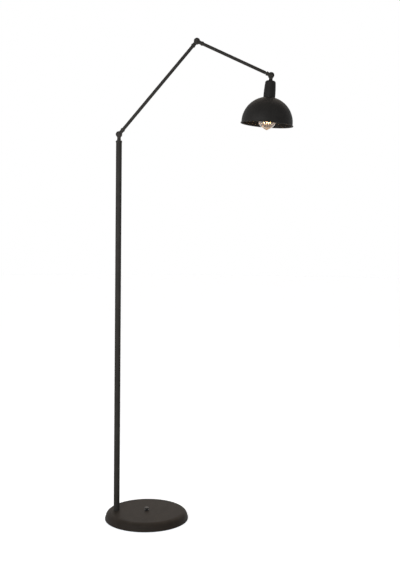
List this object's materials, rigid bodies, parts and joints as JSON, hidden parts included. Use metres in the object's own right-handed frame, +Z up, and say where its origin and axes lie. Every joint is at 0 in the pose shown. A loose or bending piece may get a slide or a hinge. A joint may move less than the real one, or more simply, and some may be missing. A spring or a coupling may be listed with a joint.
{
  "type": "adjustable arm floor lamp",
  "caption": "Floor lamp with a weighted round base, a pole near its edge, arms on tilting knuckles, and a dome shade over a filament bulb.",
  "frame": {"origin": "on the floor, at the middle of the round base", "axes": "+Z up; +X from the pole's side of the base towards the side the arms reach out to; +Y to the rear, where the cord inlet is. The arms swing in the XZ plane."},
  "size_m": [0.672, 0.3012, 1.7394],
  "materials": {
    "powder_coat": "matte",
    "cast_iron": "matte",
    "zinc_steel": "satin",
    "brass": "satin",
    "foam": "matte",
    "black_plastic": "satin",
    "lead_sheath": "matte",
    "fibre_ring": "matte",
    "ceramic": "satin",
    "bulb_glass": "gloss",
    "black_glass": "gloss",
    "filament": "matte"
  },
  "bodies": {
    "stand": {"base_pad": "foam", "base_weight": "cast_iron", "base_cover": "powder_coat", "cord_gland": "black_plastic", "switch_body": "black_plastic", "switch_nut": "zinc_steel", "switch_spring": "zinc_steel", "pole_lead": "lead_sheath", "pole_nipple": "zinc_steel", "pole_washer": "zinc_steel", "pole_nut": "zinc_steel", "pole_plug": "zinc_steel", "pole_tube": "powder_coat", "pole_cap": "powder_coat", "shoulder_lug_fixed": "powder_coat", "shoulder_friction_ring": "fibre_ring", "shoulder_pivot_screw": "powder_coat", "shoulder_pivot_nut": "powder_coat"},
    "button": {"switch_button": "black_plastic"},
    "lower_arm": {"shoulder_lug_swinging": "powder_coat", "lower_arm_tube": "powder_coat", "lower_arm_lead": "lead_sheath", "elbow_lug_fixed": "powder_coat", "elbow_friction_ring": "fibre_ring", "elbow_pivot_screw": "powder_coat", "elbow_pivot_nut": "powder_coat"},
    "upper_arm": {"elbow_lug_swinging": "powder_coat", "upper_arm_tube": "powder_coat", "upper_arm_lead": "lead_sheath", "head_lug_fixed": "powder_coat", "head_friction_ring": "fibre_ring", "head_pivot_screw": "powder_coat", "head_pivot_nut": "powder_coat"},
    "head": {"head_lug_swinging": "powder_coat", "head_lead": "lead_sheath", "socket_cup": "powder_coat", "cup_locknut": "zinc_steel", "holder_cap": "black_plastic", "holder_body": "black_plastic", "holder_insulator": "ceramic", "holder_contact": "brass", "holder_shell": "brass", "shade": "powder_coat", "shade_ring": "black_plastic", "bulb_glass": "bulb_glass", "bulb_screw_cap": "brass", "bulb_insulator": "black_glass", "bulb_contact": "zinc_steel", "bulb_stem": "bulb_glass", "bulb_filament": "filament", "filament_support_upper": "zinc_steel", "filament_support_lower": "zinc_steel"}
  },
  "joints": [
    {"name": "shoulder_tilt", "type": "hinge", "parent": "stand", "child": "lower_arm", "pos_m": [-0.109, 0, 1.3885], "axis": [0, 1, 0], "range_deg": [-129.5, 50.5]},
    {"name": "elbow_tilt", "type": "hinge", "parent": "lower_arm", "child": "upper_arm", "pos_m": [0.17106, 0, 1.72825], "axis": [0, 1, 0], "range_deg": [-164.9, 15.1]},
    {"name": "head_tilt", "type": "hinge", "parent": "upper_arm", "child": "head", "pos_m": [0.44063, 0, 1.60597], "axis": [0, 1, 0], "range_deg": [-160.2, 19.8]},
    {"name": "switch_press", "type": "slide", "parent": "stand", "child": "button", "axis": [0, 0, -1], "range_m": [0, 0.003], "stiffness_N_per_m": 1200, "springref_m": -0.002, "deforming": ["switch_spring"]}
  ]
}
